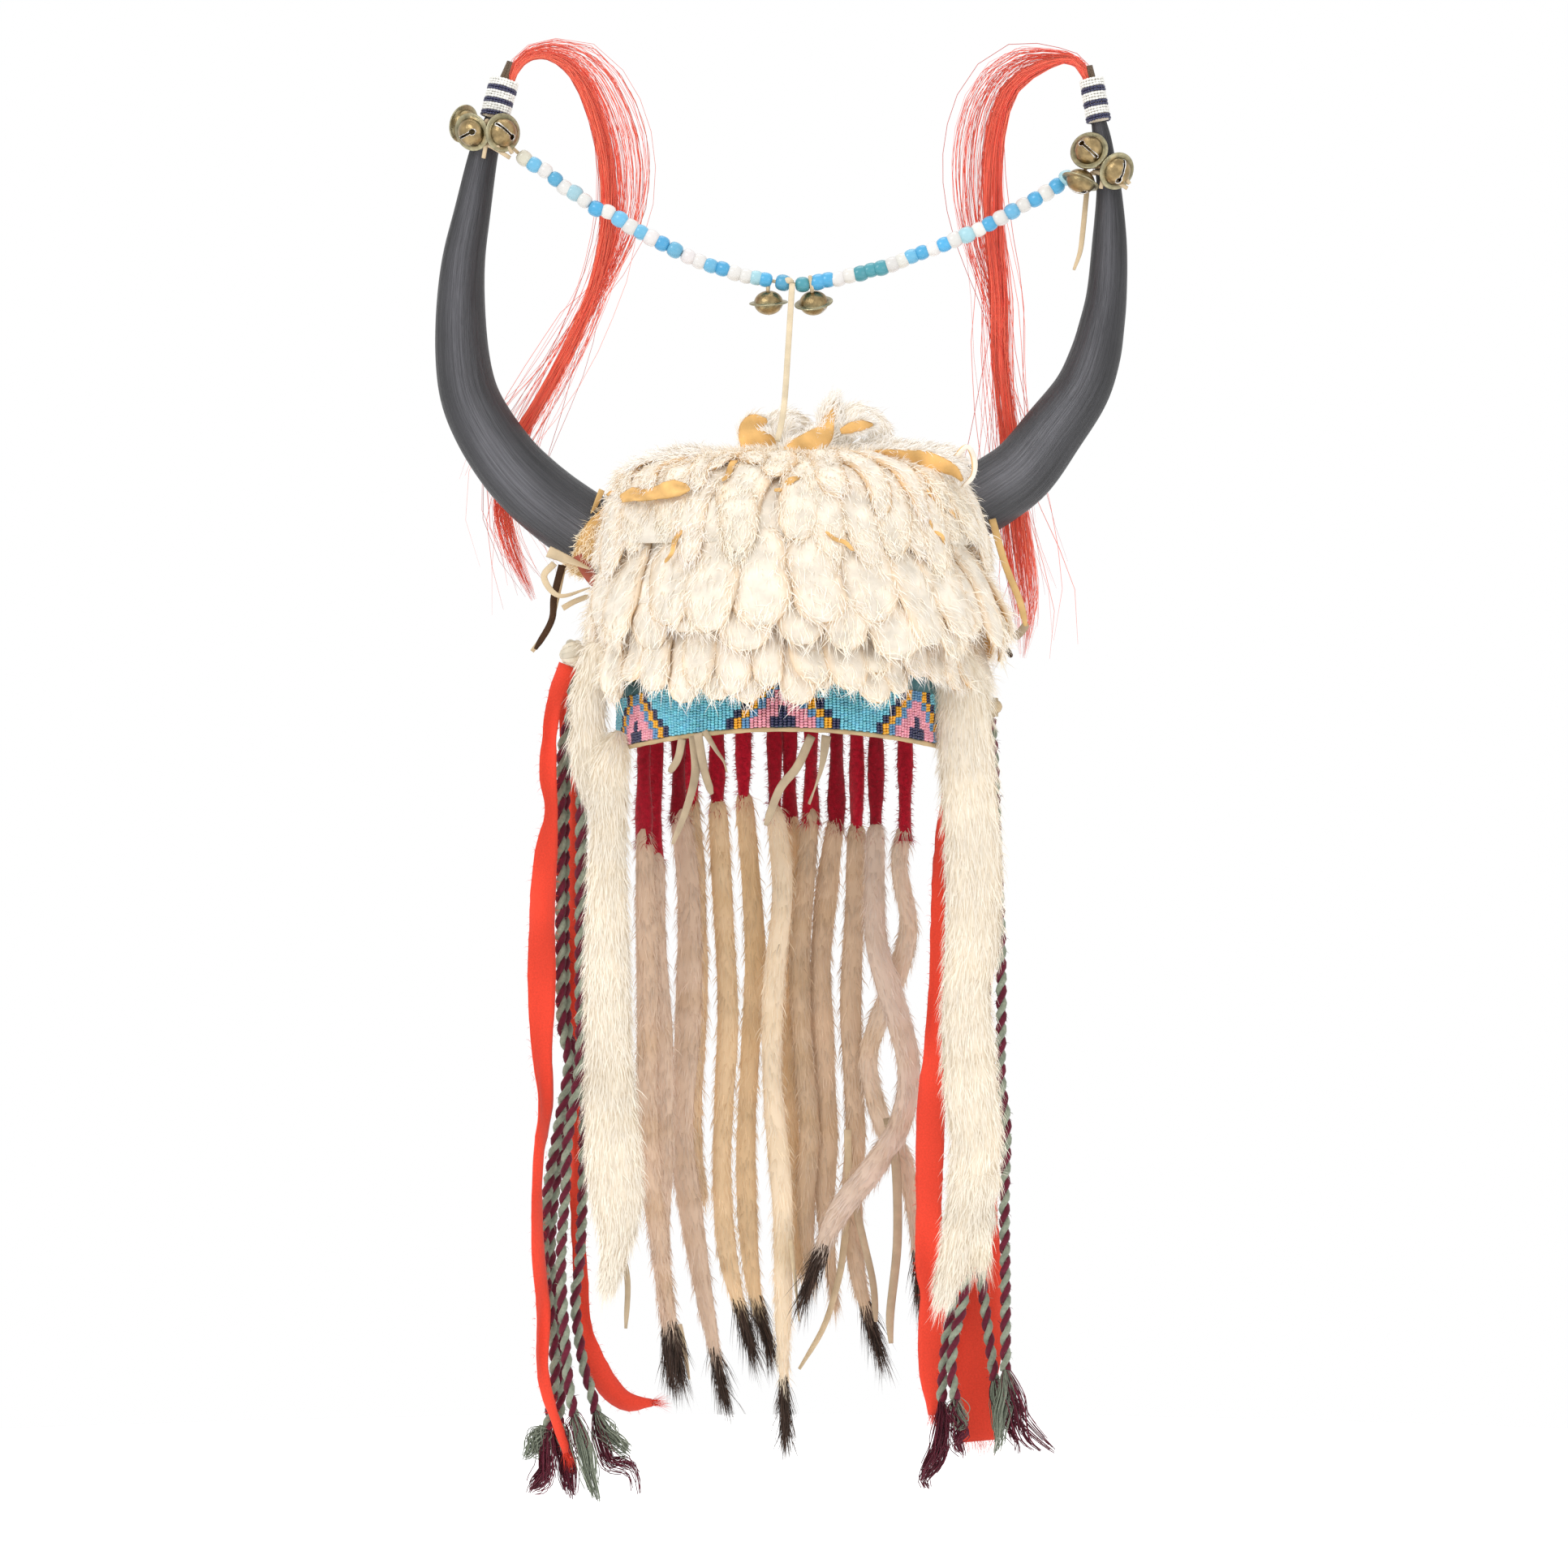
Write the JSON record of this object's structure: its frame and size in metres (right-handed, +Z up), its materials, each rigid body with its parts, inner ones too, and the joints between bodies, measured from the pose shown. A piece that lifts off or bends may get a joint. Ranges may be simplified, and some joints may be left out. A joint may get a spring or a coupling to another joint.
{
  "type": "split horn headdress",
  "caption": "Plains style split horn headdress: fur covered skull cap, beaded brow band, split horns joined by a bead string, bells, horsehair plumes and hanging ermine strips",
  "frame": {"origin": "where the crown of the head rests, at the middle of the inside top of the skull cap", "axes": "+Z up, -Y to the front with the brow band, +X to the right hand side of the picture, which is the wearer's left"},
  "size_m": [0.402, 0.2736, 0.8106],
  "materials": {
    "hide": "matte brain-tanned hide",
    "white_fur": "soft white ermine fur",
    "horn": "dark polished horn",
    "brass": "aged brass",
    "seed_beads": "opaque glass seed beads on hide",
    "glass_beads": "opaque glass beads",
    "red_horsehair": "dyed horsehair",
    "red_wool": "felted wool",
    "red_cloth": "worn wool cloth",
    "yarn": "two-ply wool yarn"
  },
  "bodies": {
    "root": {"cap": "hide", "horn_collar_left": "hide", "horn_collar_right": "hide", "bell_tie_left": "hide", "bell_tie_right": "hide", "middle_thong": "hide", "bell_thong_right": "hide", "root_thong_left": "hide", "side_knot_left": "hide", "side_knot_right": "hide", "brow_band": "seed_beads", "bead_cuff_left": "seed_beads", "bead_cuff_right": "seed_beads", "horn_left": "horn", "horn_right": "horn", "bell_left_1": "brass", "bell_left_2": "brass", "bell_left_3": "brass", "bell_right_1": "brass", "bell_right_2": "brass", "bell_right_3": "brass", "bell_middle_1": "brass", "bell_middle_2": "brass", "bead_string": "glass_beads", "plume_left": "red_horsehair", "plume_right": "red_horsehair", "fur_crown": "white_fur", "fur_middle": "white_fur", "fur_lower": "white_fur", "topknot": "white_fur", "side_ermine_left": "white_fur", "side_ermine_right": "white_fur", "ermine_tail_left": "white_fur", "pendant_01": "white_fur", "pendant_02": "white_fur", "pendant_03": "white_fur", "pendant_04": "white_fur", "pendant_05": "white_fur", "pendant_06": "white_fur", "pendant_07": "white_fur", "pendant_08": "white_fur", "pendant_09": "white_fur", "pendant_10": "white_fur", "pendant_11": "white_fur", "pendant_12": "white_fur", "pendant_13": "white_fur", "ribbon_left_1": "red_cloth", "ribbon_left_2": "red_cloth", "ribbon_right_1": "red_cloth", "ribbon_right_2": "red_cloth", "yarn_left_1": "yarn", "yarn_left_2": "yarn", "yarn_left_3": "yarn", "yarn_left_4": "yarn", "yarn_right_1": "yarn", "yarn_right_2": "yarn", "yarn_right_3": "yarn", "yarn_right_4": "yarn", "wool_fringe": "red_wool"}
  },
  "joints": []
}
